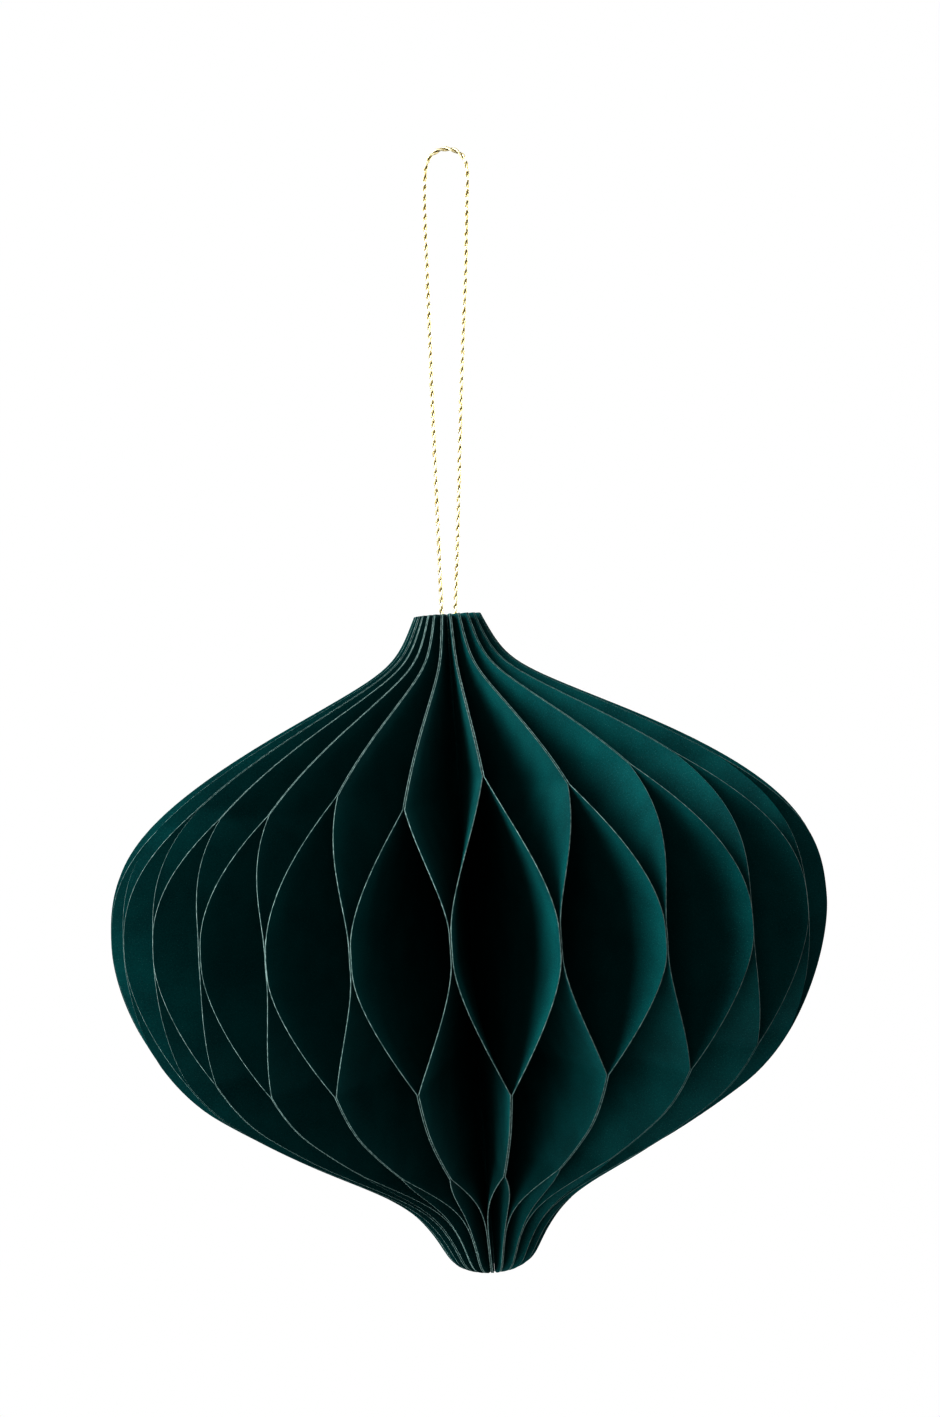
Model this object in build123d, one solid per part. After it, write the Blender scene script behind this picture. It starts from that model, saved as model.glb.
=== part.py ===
"""Paper honeycomb ornament on a twisted cord loop, as 48 card leaves glued in pairs.

The ball hangs from its cord. The frame's origin is the inside of the loop's apex, +Z is
up, and the ball's own axis leans a little. Lengths are millimetres, angles are degrees.
Azimuth 0 faces -Y and grows towards +X.

Each leaf is one card that runs from the hollow core out to the rim. It touches one
neighbour above level "upper" and round level "lower", and its other neighbour round level
"middle" and below level "foot". Between those levels it swings across in a curve.
"""
from build123d import *
from math import cos, radians, sin, tan
import os

# the leaves
LEAVES = 48
CARD = 0.16             # thickness of the card
GLUE = 0.05             # thickness of the glue between two leaves
CORE_RADIUS = 2.0       # the hollow round the axis, into which the leaves' edges point
CUT_RADIUS = 52.0       # how far a wavy strip reaches before the outline trims it

# the outline of a leaf, as radius and height above the widest level
NECK = (4.7, 41.7)
SHOULDER = (22.8, 27.5)
EQUATOR = (50.1, -0.8)
BELLY = (37.5, -25.5)
WAIST = (9.5, -44.1)
TIP = (1.9, -51.6)
OUTLINE = [
    [NECK, (8.0, 34.5), (8.4, 34.5), SHOULDER],
    [SHOULDER, (47.6, 15.5), (50.0, 8.7), EQUATOR],
    [EQUATOR, (50.2, -6.9), (46.6, -19.0), BELLY],
    [BELLY, (23.3, -35.7), (14.5, -37.8), WAIST],
    [WAIST, (5.8, -48.8), (7.0, -50.7), TIP],
]

# the glued levels, as heights above the widest level
UPPER = 18.2            # leaves of an upper pair are together from the neck down to here
MIDDLE = -0.2           # and each meets its other neighbour here
MIDDLE_HALF = 1.4       # half the height of that glued band
LOWER = -17.7           # the upper pair is together again from here
LOWER_END = -32.0       # down to here
FOOT = -44.8            # and the middle pair is together from here to the tip
EASE = 0.7              # share of a swing at which the curve's start line meets its end
HAND_TURN = 149.4       # turn from pair to pair of the small unevenness of hand gluing

# how the leaves are spread round the axis
PITCH = 360 / LEAVES
SEAM = 101.5 - 360      # where the two cover leaves meet, before the spread is made uneven
WIDEST = 112.4          # azimuth at which the leaves stand furthest apart
UNEVEN = 13.9           # how far the uneven spread moves a leaf at most
FIXED_LEAF = 24         # the leaf that the others fold towards

# the closure magnets, one inside each cover leaf
MAGNET_RADIUS = 2.4
MAGNET_THICKNESS = 0.5
MAGNET_OUT = 34.0       # distance of the magnets from the axis
MAGNET_GLUE = 0.05

# how the ball hangs
LEAN = 4.0              # the ball's axis leans this much, its tip towards +X
DROP = 66.1             # from the inside of the loop's apex down to the neck
KNOT_RADIUS = 1.4
KNOT_DEPTH = 3.0        # centre of the knot below the neck

# the cord: its route from inside the neck round the loop and back, as x and height
# above the neck
CORD_DIAMETER = 0.7
LOOP_RADIUS = 3.05      # the loop's fold at the top, where it goes over what holds it
FOLD_X = -0.15
FOLD_Z = 63.4
OCTAGON = LOOP_RADIUS * tan(radians(22.5))
CORD_ROUTE = [
    (-0.75, -1.4),
    (-1.36, 13.0),
    (-2.2, 31.0),
    (-2.9, 48.5),
    (-3.35, 58.5),
    (FOLD_X - LOOP_RADIUS, FOLD_Z + OCTAGON),
    (FOLD_X - OCTAGON, FOLD_Z + LOOP_RADIUS),
    (FOLD_X + OCTAGON, FOLD_Z + LOOP_RADIUS),
    (FOLD_X + LOOP_RADIUS, FOLD_Z + OCTAGON),
    (2.75, 59.0),
    (2.6, 49.0),
    (1.9, 31.5),
    (1.55, 13.5),
    (1.05, -1.4),
]


def seam_to(number):
    """Azimuth of the plane between leaf number and the next, with 0 as the seam."""
    even = SEAM + number * PITCH
    return even + UNEVEN * sin(radians(even - WIDEST))


def wander(pair, amount, phase):
    """Small change in height of a glued level, different for each pair."""
    return amount * cos(radians(pair * HAND_TURN + phase))


def upper_pair(plane):
    """Heights of the glued levels of the upper pair that meets at a plane."""
    pair = (plane - 27) / 2
    upper = UPPER + 2.1 * sin(radians(seam_to(plane))) + wander(pair, 1.4, -46)
    lower = LOWER + wander(pair, 0.7, -171)
    return upper, lower


def middle_pair(plane):
    """Heights of the glued levels of the middle pair that meets at a plane."""
    pair = (plane - 28) / 2 % (LEAVES / 2)
    middle = MIDDLE + wander(pair * 0.6, 0.8, -20)
    foot = FOOT + wander(pair, 0.4, 30)
    return middle, foot


def leaf_facts(number):
    """Azimuth of a leaf, half the angle it has to itself, its side and its levels."""
    before = seam_to(number - 1)
    after = seam_to(number)
    side = 1 if number % 2 else -1
    upper, lower = upper_pair(number if number % 2 else number - 1)
    middle, foot = middle_pair(number - 1 if number % 2 else number)
    return (before + after) / 2, (after - before) / 2, side, (upper, middle, lower, foot)


def inner_radius(half_angle):
    """Where a leaf starts: at the core, or where its neighbours leave it room."""
    return max(CORE_RADIUS, (CARD + GLUE) / 2 / sin(radians(half_angle)))


def strip_side(x, offset, reach, levels):
    """One face's line of a leaf at distance x from the axis, from the neck to the tip."""
    upper, middle, lower, foot = levels
    near = offset + reach
    far = offset - reach

    def line(y, top, bottom):
        return Line((x, y, top), (x, y, bottom))

    def curve(start_y, end_y, top, bottom, bend):
        return Bezier((x, start_y, top), (x, bend[0], bend[1]), (x, end_y, bottom))

    top_of_band = middle + MIDDLE_HALF
    foot_of_band = middle - MIDDLE_HALF
    return [
        line(near, NECK[1] + 2, upper),
        curve(near, far, upper, top_of_band, (far, upper + EASE * (top_of_band - upper))),
        line(far, top_of_band, foot_of_band),
        curve(far, near, foot_of_band, lower, (far, lower + EASE * (foot_of_band - lower))),
        line(near, lower, LOWER_END),
        curve(near, far, LOWER_END, foot, (far, LOWER_END + EASE * (foot - LOWER_END))),
        line(far, foot, TIP[1] - 2),
    ]


def strip(x, half_angle, side, levels):
    """The leaf's wavy section at distance x from the axis."""
    reach = side * (x * tan(radians(half_angle)) - (CARD + GLUE) / 2 / cos(radians(half_angle)))
    front = strip_side(x, CARD / 2, reach, levels)
    back = strip_side(x, -CARD / 2, reach, levels)
    top = Line(back[0] @ 0, front[0] @ 0)
    bottom = Line(front[-1] @ 1, back[-1] @ 1)
    return Face(Wire([*front, bottom, *back, top]))


def outline_prism(inner):
    """Half of the ball's outline, thick enough to trim any leaf."""
    curves = [Bezier(*[(r, 0, z) for r, z in points]) for points in OUTLINE]
    bottom = Line((TIP[0], 0, TIP[1]), (inner / 2, 0, TIP[1]))
    inside = Line((inner / 2, 0, TIP[1]), (inner / 2, 0, NECK[1]))
    top = Line((inner / 2, 0, NECK[1]), (NECK[0], 0, NECK[1]))
    return extrude(Face(Wire([*curves, bottom, inside, top])), amount=12, dir=(0, 1, 0), both=True)


def in_ball(azimuth):
    """Where a leaf's own frame, x outwards and z up, stands in the hanging ball."""
    hang = Location((0, 0, -DROP)) * Rotation(0, -LEAN, 0) * Location((0, 0, -NECK[1]))
    return hang * Rotation(0, 0, azimuth - 90)


def make_leaf(number):
    azimuth, half_angle, side, levels = leaf_facts(number)
    inner = inner_radius(half_angle)
    sections = [strip(x, half_angle, side, levels) for x in (inner, CUT_RADIUS)]
    leaf = loft(sections, ruled=True) & outline_prism(CORE_RADIUS)
    return in_ball(azimuth) * leaf


def make_magnet(number):
    """A disc on the inner face of a cover leaf, where the covers meet."""
    azimuth, half_angle, side, levels = leaf_facts(number)
    to_plane = side * half_angle
    outwards = Rotation(0, 0, -to_plane)
    gap = (CARD + GLUE / 2) + MAGNET_GLUE
    disc = Cylinder(MAGNET_RADIUS, MAGNET_THICKNESS, rotation=(90, 0, 0))
    disc = Pos(MAGNET_OUT, side * (gap + MAGNET_THICKNESS / 2), levels[1]) * disc
    return in_ball(azimuth) * (outwards * disc)


def make_cord():
    """The cord as one plain tube round its route."""
    points = [Vector(x, 0, z - DROP) for x, z in CORD_ROUTE]
    radii = []
    for before, at, after in zip(points, points[1:], points[2:]):
        turn = (at - before).get_angle(after - at)
        shorter = min((at - before).length, (after - at).length)
        radii.append(0.45 * shorter / tan(radians(turn / 2)))
    path = FilletPolyline(*points, radius=radii)
    print("cord radii", [round(radius, 1) for radius in radii])
    section = Plane(origin=path @ 0, z_dir=path % 0) * Circle(CORD_DIAMETER / 2)
    tube = sweep(section, path)
    print("cord length", round(path.length, 1), "volume over section times length",
          round(tube.volume / (path.length * Circle(CORD_DIAMETER / 2).area), 4))
    return tube


def make_knot():
    """The knot that ends both strands inside the neck."""
    return Pos(0, 0, -DROP - KNOT_DEPTH) * Sphere(KNOT_RADIUS)


parts = {f"leaf_{number:02d}": make_leaf(number) for number in range(1, LEAVES + 1)}
parts["magnet_front"] = make_magnet(LEAVES)
parts["magnet_back"] = make_magnet(1)
parts["hanging_cord"] = make_cord()
parts["cord_knot"] = make_knot()

os.makedirs("parts", exist_ok=True)
for name, shape in parts.items():
    export_step(shape, f"parts/{name}.step")
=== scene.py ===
"""A hanging paper honeycomb ornament: 48 card leaves round a hollow core, on a gold cord."""
import random
from math import cos, pi, radians, sin, tan

import bpy
from mathutils import Matrix, Vector


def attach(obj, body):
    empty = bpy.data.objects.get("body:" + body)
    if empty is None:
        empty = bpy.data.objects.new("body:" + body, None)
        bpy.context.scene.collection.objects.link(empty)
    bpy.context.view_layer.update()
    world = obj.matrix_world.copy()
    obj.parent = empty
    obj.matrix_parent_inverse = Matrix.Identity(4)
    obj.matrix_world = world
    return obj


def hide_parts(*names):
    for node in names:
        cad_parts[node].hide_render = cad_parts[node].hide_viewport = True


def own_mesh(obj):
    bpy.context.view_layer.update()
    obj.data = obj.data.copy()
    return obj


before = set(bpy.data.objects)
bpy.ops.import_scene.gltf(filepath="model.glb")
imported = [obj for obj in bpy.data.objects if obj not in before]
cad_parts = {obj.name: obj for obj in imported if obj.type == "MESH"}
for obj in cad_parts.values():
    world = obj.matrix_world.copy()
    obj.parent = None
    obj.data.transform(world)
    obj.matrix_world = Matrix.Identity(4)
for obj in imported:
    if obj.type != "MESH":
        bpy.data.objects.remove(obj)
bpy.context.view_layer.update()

MM = 0.001

# the ornament's driving dimensions, in millimetres and degrees
LEAVES = 48
CARD = 0.12             # what shows of the card's thickness
BEAD_OVERLAP = 0.02     # how far two leaves' beads of glue run into each other at the core
CUT_ERROR = 0.12        # how much longer or shorter than the outline a leaf may be cut
HALF_GAP = 0.105        # from a leaf's middle to the plane where it meets its neighbour
CORE_RADIUS = 2.0       # the hollow round the axis
NECK_HEIGHT = 41.7
# the outline of a leaf, as radius and height above the widest level
OUTLINE = [
    [(4.7, 41.7), (8.0, 34.5), (8.4, 34.5), (22.8, 27.5)],
    [(22.8, 27.5), (47.6, 15.5), (50.0, 8.7), (50.1, -0.8)],
    [(50.1, -0.8), (50.2, -6.9), (46.6, -19.0), (37.5, -25.5)],
    [(37.5, -25.5), (23.3, -35.7), (14.5, -37.8), (9.5, -44.1)],
    [(9.5, -44.1), (5.8, -48.8), (7.0, -50.7), (1.9, -51.6)],
]

# the glued levels, as heights above the widest level
UPPER = 18.2            # leaves of an upper pair are together from the neck down to here
MIDDLE = -0.2           # and each meets its other neighbour here
MIDDLE_HALF = 1.4       # half the height of that glued band
LOWER = -17.7           # the upper pair is together again from here
LOWER_END = -32.0       # down to here
FOOT = -44.8            # and the middle pair is together from here to the tip
EASE = 0.7              # share of a swing at which the curve's start line meets its end
HAND_TURN = 149.4       # turn from pair to pair of the small unevenness of hand gluing

# how the leaves are spread round the axis, and how the ball hangs
PITCH = 360 / LEAVES
SEAM = 101.5 - 360      # where the two cover leaves meet, before the spread is made uneven
WIDEST = 112.4          # azimuth at which the leaves stand furthest apart
UNEVEN = 13.9           # how far the uneven spread moves a leaf at most
FIXED_LEAF = 24         # the leaf that the others fold towards
LEAN = 4.0              # the ball's axis leans this much, its tip towards +X
DROP = 66.1             # from the inside of the loop's apex down to the neck
KNOT_DEPTH = 3.0        # centre of the knot below the neck

# from the ball's own frame, z = 0 at its widest level, to the frame that it hangs in
HANG = (
    Matrix.Translation((0, 0, -DROP))
    @ Matrix.Rotation(radians(-LEAN), 4, "Y")
    @ Matrix.Translation((0, 0, -NECK_HEIGHT))
)


def nothing_selected():
    bpy.ops.object.select_all(action="DESELECT")


def just(piece):
    nothing_selected()
    piece.select_set(True)
    bpy.context.view_layer.objects.active = piece


# ---------------------------------------------------------------- camera

def make_camera():
    """Level, 275 mm in front of the loop and 13.3 mm below the neck."""
    place = Vector((3.2, -275.0, -(DROP + 13.3))) * MM
    bpy.ops.object.camera_add(location=place, rotation=(pi / 2, 0, 0))
    camera = bpy.context.object
    camera.data.sensor_width = 36
    camera.data.lens = 49.03
    camera.data.clip_start = 0.01
    bpy.context.scene.camera = camera


make_camera()

# ---------------------------------------------------------------- materials

def linear(code):
    """A colour from its sRGB hex code."""
    parts = [int(code[i:i + 2], 16) / 255 for i in (1, 3, 5)]
    return [c / 12.92 if c <= 0.04045 else ((c + 0.055) / 1.055) ** 2.4 for c in parts] + [1]


def node(tree, kind, links=None, **settings):
    """Adds a node: links fill its inputs from other nodes' outputs or with values."""
    made = tree.nodes.new(kind)
    for key, value in settings.items():
        setattr(made, key, value)
    for key, value in (links or {}).items():
        if isinstance(value, bpy.types.NodeSocket):
            tree.links.new(value, made.inputs[key])
        else:
            made.inputs[key].default_value = value
    return made


def new_material(name, **shader):
    material = bpy.data.materials.new(name)
    material.use_nodes = True
    tree = material.node_tree
    principled = tree.nodes["Principled BSDF"]
    for key, value in shader.items():
        principled.inputs[key.replace("_", " ")].default_value = value
    return material, tree, principled


def card_material():
    """Teal dyed uncoated card, calendered matt: deep colour with a faint fibre cloud."""
    material, tree, shader = new_material(
        "dyed matt card", Roughness=0.75, IOR=1.47, Specular_IOR_Level=0.08)
    place = node(tree, "ShaderNodeUVMap", uv_map="card").outputs["UV"]
    # clouds of 6 mm and fibres of 0.25 mm, on a map whose unit is 10 mm
    cloud = node(tree, "ShaderNodeTexNoise", {"Vector": place, "Scale": 1.7, "Detail": 3.0})
    fibre = node(tree, "ShaderNodeTexNoise", {"Vector": place, "Scale": 40.0, "Detail": 4.0})
    mixed = node(tree, "ShaderNodeMath", {0: cloud.outputs[0], 1: fibre.outputs[0]}, operation="ADD")
    ramp = node(tree, "ShaderNodeValToRGB", {0: node(
        tree, "ShaderNodeMath", {0: mixed.outputs[0], 1: 0.5}, operation="MULTIPLY").outputs[0]})
    ramp.color_ramp.elements[0].position = 0.3
    ramp.color_ramp.elements[0].color = linear("#003b3d")
    ramp.color_ramp.elements[1].position = 0.72
    ramp.color_ramp.elements[1].color = linear("#005a5a")
    # bare fibres 0.1 mm across, where the dye has missed them
    speck = node(tree, "ShaderNodeTexNoise", {"Vector": place, "Scale": 75.0, "Detail": 1.0})
    bare = node(tree, "ShaderNodeMapRange", {
        "Value": speck.outputs[0], "From Min": 0.66, "From Max": 0.74, "To Max": 0.4})
    coloured = node(tree, "ShaderNodeMix", {
        0: bare.outputs[0], 6: ramp.outputs[0], 7: linear("#5f9c98")}, data_type="RGBA")
    tree.links.new(coloured.outputs[2], shader.inputs["Base Color"])
    bump = node(tree, "ShaderNodeBump", {"Height": fibre.outputs[0], "Strength": 0.12, "Distance": 0.0001})
    tree.links.new(bump.outputs[0], shader.inputs["Normal"])
    return material


def edge_material():
    """The same card's cut edge: the dye is thinner inside, so bare fibre shows paler."""
    material, tree, shader = new_material("cut card edge", Roughness=0.9, IOR=1.47)
    place = node(tree, "ShaderNodeUVMap", uv_map="card").outputs["UV"]
    fibre = node(tree, "ShaderNodeTexNoise", {"Vector": place, "Scale": 14.0, "Detail": 5.0})
    ramp = node(tree, "ShaderNodeValToRGB", {0: fibre.outputs[0]})
    ramp.color_ramp.elements[0].position = 0.35
    ramp.color_ramp.elements[0].color = linear("#3c5755")
    ramp.color_ramp.elements[1].position = 0.7
    ramp.color_ramp.elements[1].color = linear("#849e9a")
    tree.links.new(ramp.outputs[0], shader.inputs["Base Color"])
    return material


def gold_material():
    """Metallised film slit to thread: bright pale gold, finely wrinkled by twisting."""
    material, tree, shader = new_material("metallised gold thread", Metallic=1.0, Roughness=0.3)
    place = node(tree, "ShaderNodeTexCoord").outputs["Object"]
    wrinkle = node(tree, "ShaderNodeTexNoise", {"Vector": place, "Scale": 5000.0, "Detail": 2.0})
    ramp = node(tree, "ShaderNodeValToRGB", {0: wrinkle.outputs[0]})
    ramp.color_ramp.elements[0].position = 0.35
    ramp.color_ramp.elements[0].color = linear("#b8a05a")
    ramp.color_ramp.elements[1].position = 0.65
    ramp.color_ramp.elements[1].color = linear("#fbf5d6")
    tree.links.new(ramp.outputs[0], shader.inputs["Base Color"])
    bump = node(tree, "ShaderNodeBump", {"Height": wrinkle.outputs[0], "Strength": 0.3, "Distance": 0.0001})
    tree.links.new(bump.outputs[0], shader.inputs["Normal"])
    return material


def nickel_material():
    """Nickel plated magnet: bright, lightly scuffed."""
    material, tree, shader = new_material("nickel plating", Metallic=1.0, Roughness=0.25)
    place = node(tree, "ShaderNodeTexCoord").outputs["Object"]
    scuff = node(tree, "ShaderNodeTexNoise", {"Vector": place, "Scale": 1500.0, "Detail": 4.0})
    ramp = node(tree, "ShaderNodeValToRGB", {0: scuff.outputs[0]})
    ramp.color_ramp.elements[0].color = linear("#8d8f92")
    ramp.color_ramp.elements[1].color = linear("#c9cacb")
    tree.links.new(ramp.outputs[0], shader.inputs["Base Color"])
    return material


def painted_gap_shade_material():
    """A thread down the cord's middle, dark olive as painted shade: it shows in the gaps between the
    metallised threads and stands in for the shade there.
    """
    material, tree, shader = new_material("dark olive painted gap shade", Roughness=0.9, IOR=1.47)
    place = node(tree, "ShaderNodeTexCoord").outputs["Object"]
    fibre = node(tree, "ShaderNodeTexNoise", {"Vector": place, "Scale": 8000.0, "Detail": 2.0})
    ramp = node(tree, "ShaderNodeValToRGB", {0: fibre.outputs[0]})
    # dark olive tones of painted shade for the gaps between the gold threads
    ramp.color_ramp.elements[0].color = linear("#17160a")
    ramp.color_ramp.elements[1].color = linear("#4a4320")
    tree.links.new(ramp.outputs[0], shader.inputs["Base Color"])
    return material


CARD_FACE = card_material()
CARD_EDGE = edge_material()
GOLD = gold_material()
GAP_SHADE_THREAD = painted_gap_shade_material()
NICKEL = nickel_material()

# ---------------------------------------------------------------- cord

CORD_DIAMETER = 0.7
LOOP_RADIUS = 3.05
FOLD_X = -0.15
FOLD_Z = 63.4
OCTAGON = LOOP_RADIUS * tan(radians(22.5))
# the cord's route, as x and height above the neck, from the knot round the loop and back
CORD_ROUTE = [
    (-0.75, -1.4),
    (-1.36, 13.0),
    (-2.2, 31.0),
    (-2.9, 48.5),
    (-3.35, 58.5),
    (FOLD_X - LOOP_RADIUS, FOLD_Z + OCTAGON),
    (FOLD_X - OCTAGON, FOLD_Z + LOOP_RADIUS),
    (FOLD_X + OCTAGON, FOLD_Z + LOOP_RADIUS),
    (FOLD_X + LOOP_RADIUS, FOLD_Z + OCTAGON),
    (2.75, 59.0),
    (2.6, 49.0),
    (1.9, 31.5),
    (1.55, 13.5),
    (1.05, -1.4),
]


def route_points(route, resolution):
    """Points along the smooth line that a route controls."""
    curve = bpy.data.curves.new("route", "CURVE")
    curve.dimensions = "3D"
    curve.resolution_u = resolution
    spline = curve.splines.new("NURBS")
    spline.points.add(len(route) - 1)
    for point, place in zip(spline.points, route):
        point.co = (*place, 1)
    spline.order_u = 3
    spline.use_endpoint_u = True
    holder = bpy.data.objects.new("route", curve)
    bpy.context.scene.collection.objects.link(holder)
    bpy.context.view_layer.update()
    mesh = bpy.data.meshes.new_from_object(holder.evaluated_get(bpy.context.evaluated_depsgraph_get()))
    points = [vertex.co.copy() for vertex in mesh.vertices]
    bpy.data.objects.remove(holder)
    bpy.data.meshes.remove(mesh)
    return points


def strand_lines(points, strands, radius, pitch):
    """The lines of a rope's strands round a middle line, side given by the line's own plane."""
    lines = [[] for _ in range(strands)]
    gone = 0.0
    previous = points[0]
    for here, after in zip(points, points[1:] + [points[-1] * 2 - points[-2]]):
        gone += (here - previous).length
        previous = here
        ahead = (after - here).normalized()
        across = Vector((0, 1, 0))
        across = (across - ahead * across.dot(ahead)).normalized()
        up = ahead.cross(across)
        for strand, line in enumerate(lines):
            turn = 2 * pi * (gone / pitch + strand / strands)
            line.append(here + (across * cos(turn) + up * sin(turn)) * radius)
    return lines


def tube_along(lines, radius, name):
    """One mesh of round threads along the given lines, their ends closed."""
    curve = bpy.data.curves.new(name, "CURVE")
    curve.dimensions = "3D"
    curve.bevel_depth = radius
    curve.bevel_resolution = 2
    curve.use_fill_caps = True
    for line in lines:
        spline = curve.splines.new("POLY")
        spline.points.add(len(line) - 1)
        for point, place in zip(spline.points, line):
            point.co = (*place, 1)
    thread = bpy.data.objects.new(name, curve)
    bpy.context.scene.collection.objects.link(thread)
    just(thread)
    bpy.ops.object.convert(target="MESH")
    thread = bpy.context.object
    bpy.ops.object.shade_smooth()
    return thread


def twisted_cord(middle, name):
    """Two metallised threads twisted round a core thread, once round every 2.8 mm; the core's dark colour
    is painted shade that fills the gaps between them.
    """
    thread = CORD_DIAMETER * MM / 4
    rope = tube_along(strand_lines(middle, 2, thread, 2.8 * MM), thread, name)
    rope.data.materials.append(GOLD)
    # the core thread's dark olive is painted shade, showing in the gaps between the gold threads
    core = tube_along([middle], thread * 1.05, "gap_shade_thread")
    core.data.materials.append(GAP_SHADE_THREAD)
    just(rope)
    core.select_set(True)
    bpy.ops.object.join()
    return rope


def make_cord():
    route = [Vector((x, 0, z - DROP)) * MM for x, z in CORD_ROUTE]
    middle = route_points(route, 40)
    cord = twisted_cord(middle, "gold_cord")
    length = sum((b - a).length for a, b in zip(middle, middle[1:]))
    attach(cord, "cord")
    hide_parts("hanging_cord")
    return cord, middle, length


def make_knot():
    """An overhand knot of the same cord, pulled tight in the core."""
    centre = Vector((0, 0, -DROP - KNOT_DEPTH)) * MM
    steps = 120
    middle = []
    for step in range(steps):
        t = 2 * pi * step / steps
        across = Vector((sin(t) + 2 * sin(2 * t), -sin(3 * t), cos(t) - 2 * cos(2 * t)))
        middle.append(centre + across * 0.42 * MM)
    middle.append(middle[0].copy())
    knot = twisted_cord(middle, "knot")
    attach(knot, "knot")
    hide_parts("cord_knot")
    return knot


cord, cord_path, cord_length = make_cord()
knot = make_knot()

# ---------------------------------------------------------------- leaves

def bezier(points, t):
    """A point of a curve with four control points."""
    a, b, c, d = points
    weights = ((1 - t) ** 3, 3 * (1 - t) ** 2 * t, 3 * (1 - t) * t ** 2, t ** 3)
    return [sum(w * p[i] for w, p in zip(weights, (a, b, c, d))) for i in (0, 1)]


OUTLINE_LINE = [bezier(part, step / 60) for part in OUTLINE for step in range(61)]


def rim_radius(height):
    """The ball's radius at a height."""
    for (r0, z0), (r1, z1) in zip(OUTLINE_LINE, OUTLINE_LINE[1:]):
        if z0 >= height >= z1 and z0 > z1:
            return r0 + (r1 - r0) * (z0 - height) / (z0 - z1)
    return OUTLINE_LINE[0][0] if height > 0 else OUTLINE_LINE[-1][0]


def seam_to(number):
    """Azimuth of the plane between leaf number and the next, with 0 as the seam."""
    even = SEAM + number * PITCH
    return even + UNEVEN * sin(radians(even - WIDEST))


def wander(pair, amount, phase):
    """Small change in height of a glued level, different for each pair."""
    return amount * cos(radians(pair * HAND_TURN + phase))


def leaf_levels(number):
    """Heights at which a leaf is glued: upper, middle, lower and foot."""
    upper_plane = number if number % 2 else number - 1
    middle_plane = number - 1 if number % 2 else number
    pair = (upper_plane - 27) / 2
    upper = UPPER + 2.1 * sin(radians(seam_to(upper_plane))) + wander(pair, 1.4, -46)
    lower = LOWER + wander(pair, 0.7, -171)
    pair = (middle_plane - 28) / 2 % (LEAVES / 2)
    middle = MIDDLE + wander(pair * 0.6, 0.8, -20)
    foot = FOOT + wander(pair, 0.4, 30)
    return upper, middle, lower, foot


def bend(start, end, height):
    """Share of a swing done at a height: a steep start that eases out at its end."""
    reach = (height - start) / (end - start)
    # a curve through 0, EASE and 1 whose height goes as 2 EASE t + (1 - 2 EASE) t^2
    a = 1 - 2 * EASE
    t = (-EASE + (EASE ** 2 + a * reach) ** 0.5) / a
    return 1 - (1 - t) ** 2


def wave(levels, height):
    """Where the leaf is between its two neighbours: 1 at the upper pair's, -1 at the other."""
    upper, middle, lower, foot = levels
    if height >= upper:
        return 1.0
    if height >= middle + MIDDLE_HALF:
        return 1 - 2 * bend(upper, middle + MIDDLE_HALF, height)
    if height >= middle - MIDDLE_HALF:
        return -1.0
    if height >= lower:
        return 1 - 2 * bend(lower, middle - MIDDLE_HALF, height)
    if height >= LOWER_END:
        return 1.0
    if height >= foot:
        return 1 - 2 * bend(LOWER_END, foot, height)
    return -1.0


SHOULDER_HEIGHT = 33.0  # where the neck has widened into the shoulder
# rows of points from the neck to the shoulder, and on from glued level to glued level
ROW_COUNTS = [14, 20, 22, 4, 22, 16, 20, 16]
ROWS = sum(ROW_COUNTS) + 1


def row_heights(levels, bottom):
    """Heights of the leaf's rows of points, closer together where the outline turns."""
    upper, middle, lower, foot = levels
    stops = [NECK_HEIGHT, SHOULDER_HEIGHT, upper, middle + MIDDLE_HALF, middle - MIDDLE_HALF, lower,
             LOWER_END, foot, bottom]
    heights = [NECK_HEIGHT]
    for top, low, count in zip(stops, stops[1:], ROW_COUNTS):
        heights += [top + (low - top) * (step + 1) / count for step in range(count)]
    # the tip is round, so its rows gather towards its end
    tip = ROW_COUNTS[-1]
    turns = [pi / 2 * (step + 1) / tip for step in range(tip)]
    heights[-tip:] = [foot + (bottom - foot) * sin(turn) for turn in turns]
    return heights


# shares of the way from the core to the rim at which a leaf has columns of points
SPREAD = [0, 0.01] + [(step / 12) ** 0.8 for step in range(1, 13)]
COLUMNS = len(SPREAD)


def leaf_place(number):
    """Where a leaf's own frame stands, x outwards and z up, half its angle, where it starts."""
    before = seam_to(number - 1)
    after = seam_to(number)
    half = radians((after - before) / 2)
    place = HANG @ Matrix.Rotation(radians((before + after) / 2 - 90), 4, "Z")
    return place, half, max(CORE_RADIUS, HALF_GAP / sin(half))


def flatten_with(piece, number):
    """Gives a piece its own copy of its mesh."""
    place, half, inner = leaf_place(number)
    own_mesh(piece)


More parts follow.
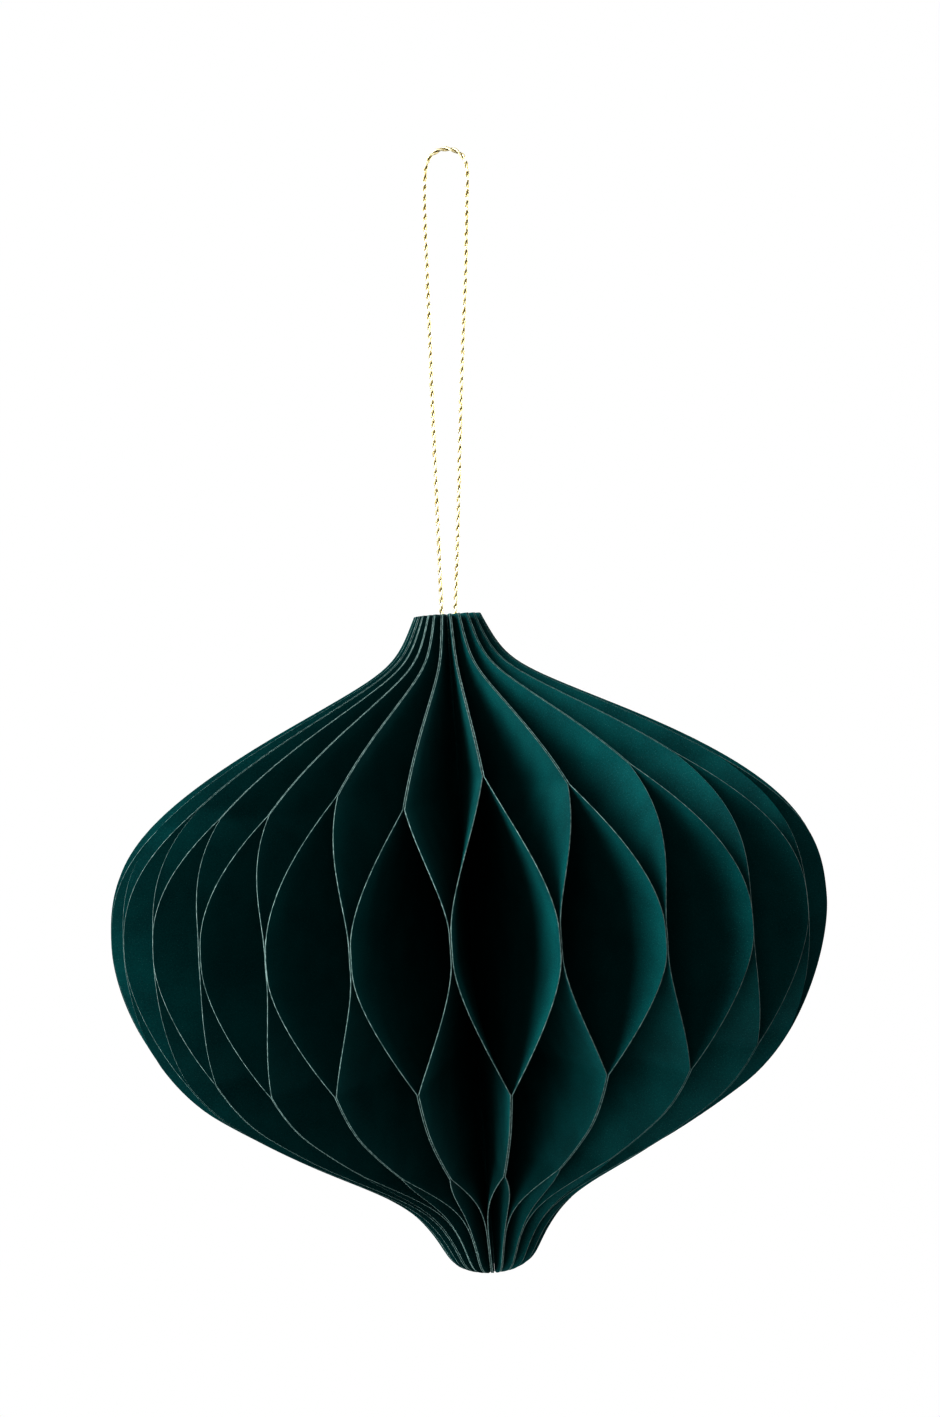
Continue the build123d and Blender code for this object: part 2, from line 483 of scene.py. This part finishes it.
def make_leaf(number):
    """One card, from the core to the rim, wavy where it swings between its neighbours."""
    place, half, inner = leaf_place(number)
    side = 1 if number % 2 else -1
    levels = leaf_levels(number)
    chance = random.Random(number)
    longer = chance.uniform(-CUT_ERROR, CUT_ERROR)
    bottom = next(z for r, z in reversed(OUTLINE_LINE) if r > inner + 0.4)
    heights = row_heights(levels, bottom)

    nothing_selected()
    bpy.ops.mesh.primitive_grid_add(x_subdivisions=COLUMNS - 1, y_subdivisions=ROWS - 1, size=1)
    leaf = bpy.context.object
    leaf.name = f"card_{number:02d}"
    mesh = leaf.data
    flat = {}
    at_core = []
    for vertex in mesh.vertices:
        column = round((vertex.co.x + 0.5) * (COLUMNS - 1))
        row = round((0.5 - vertex.co.y) * (ROWS - 1))
        height = heights[row]
        rim = rim_radius(height) + longer
        x = inner + (rim - inner) * SPREAD[column]
        reach = x * tan(half) - HALF_GAP / cos(half)
        y = side * wave(levels, height) * reach
        flat[vertex.index] = (x, height)
        if column == 0:
            at_core.append(vertex.index)
        vertex.co = (place @ Vector((x, y, height))) * MM
    mesh.uv_layers[0].name = "card"
    shift = number * 13.7
    for loop in mesh.loops:
        x, height = flat[loop.vertex_index]
        mesh.uv_layers[0].data[loop.index].uv = (x / 10 + shift, height / 10 + shift)
    mesh.materials.append(CARD_FACE)
    mesh.materials.append(CARD_EDGE)
    thick = leaf.modifiers.new("card", "SOLIDIFY")
    # a bead of glue fills the leaf's whole share of the core's wall
    bead = 2 * inner * sin(half) + BEAD_OVERLAP
    core = leaf.vertex_groups.new(name="core")
    core.add(at_core, 1.0, "REPLACE")
    thick.thickness = bead * MM
    thick.vertex_group = "core"
    thick.thickness_vertex_group = CARD / bead
    thick.offset = 0
    thick.material_offset_rim = 1
    just(leaf)
    bpy.ops.object.modifier_apply(modifier="card")
    bpy.ops.object.shade_smooth_by_angle(angle=radians(40))

    name = f"leaf_{number:02d}"
    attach(leaf, "ball" if number == FIXED_LEAF else name)
    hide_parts(name)
    flatten_with(leaf, number)
    return leaf


leaves = [make_leaf(number) for number in range(1, LEAVES + 1)]

for name, cover in (("magnet_front", LEAVES), ("magnet_back", 1)):
    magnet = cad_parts[name]
    magnet.data.materials.clear()
    magnet.data.materials.append(NICKEL)
    flatten_with(magnet, cover)

# ---------------------------------------------------------------- studio

def white_to(tree):
    """1 for the rays that see the studio as plain white: the camera's and mirrored ones."""
    path = node(tree, "ShaderNodeLightPath").outputs
    links = {0: path["Is Camera Ray"], 1: path["Is Glossy Ray"]}
    return node(tree, "ShaderNodeMath", links, operation="MAXIMUM").outputs[0]


def make_studio():
    """A white sweep, a soft key from the front left, a little fill and two lamps behind."""
    world = bpy.data.worlds.new("studio")
    bpy.context.scene.world = world
    world.use_nodes = True
    tree = world.node_tree
    seen = white_to(tree)
    low = node(tree, "ShaderNodeBackground", {"Color": (1, 1, 1, 1), "Strength": 0.01})
    white = node(tree, "ShaderNodeBackground", {"Color": (1, 1, 1, 1), "Strength": 1.0})
    both = node(tree, "ShaderNodeMixShader", {0: seen, 1: low.outputs[0], 2: white.outputs[0]})
    tree.links.new(both.outputs[0], tree.nodes["World Output"].inputs[0])

    nothing_selected()
    bpy.ops.mesh.primitive_circle_add(vertices=96, radius=4, fill_type="NGON", location=(0, 0, -0.9))
    floor = bpy.context.object
    floor.name = "floor"
    paper = bpy.data.materials.new("white studio floor")
    paper.use_nodes = True
    tree = paper.node_tree
    seen = white_to(tree)
    matt = node(tree, "ShaderNodeBsdfDiffuse", {"Color": (0.6, 0.6, 0.6, 1)})
    bright = node(tree, "ShaderNodeEmission", {"Color": (1, 1, 1, 1), "Strength": 1.0})
    both = node(tree, "ShaderNodeMixShader", {0: seen, 1: matt.outputs[0], 2: bright.outputs[0]})
    tree.links.new(both.outputs[0], tree.nodes["Material Output"].inputs[0])
    floor.data.materials.append(paper)

    centre = Vector((0, 0, -0.1))
    # each lamp's azimuth, elevation, distance, size and power
    for name, azimuth, elevation, distance, size, power in (
        ("key", -56, 24, 0.8, 0.5, 11.8),
        ("side", 60, 12, 0.8, 0.5, 1.1),
        ("bounce", -55, -40, 0.8, 0.5, 4.4),
        ("front", -6, 18, 0.9, 0.3, 1.1),
        ("rear left", -140, 25, 0.8, 0.5, 6.0),
        ("rear right", 130, 20, 0.8, 0.5, 5.0),
    ):
        away = Vector((sin(radians(azimuth)), -cos(radians(azimuth)), tan(radians(elevation))))
        place = centre + away.normalized() * distance
        bpy.ops.object.light_add(type="AREA", location=place)
        lamp = bpy.context.object
        lamp.name = name
        lamp.data.size = size
        lamp.data.energy = power
        lamp.rotation_euler = (centre - place).to_track_quat("-Z", "Y").to_euler()
    # a photographer's contrast: the cells go black while the background stays white
    bpy.context.scene.view_settings.view_transform = "Standard"
    bpy.context.scene.view_settings.gamma = 0.78


make_studio()
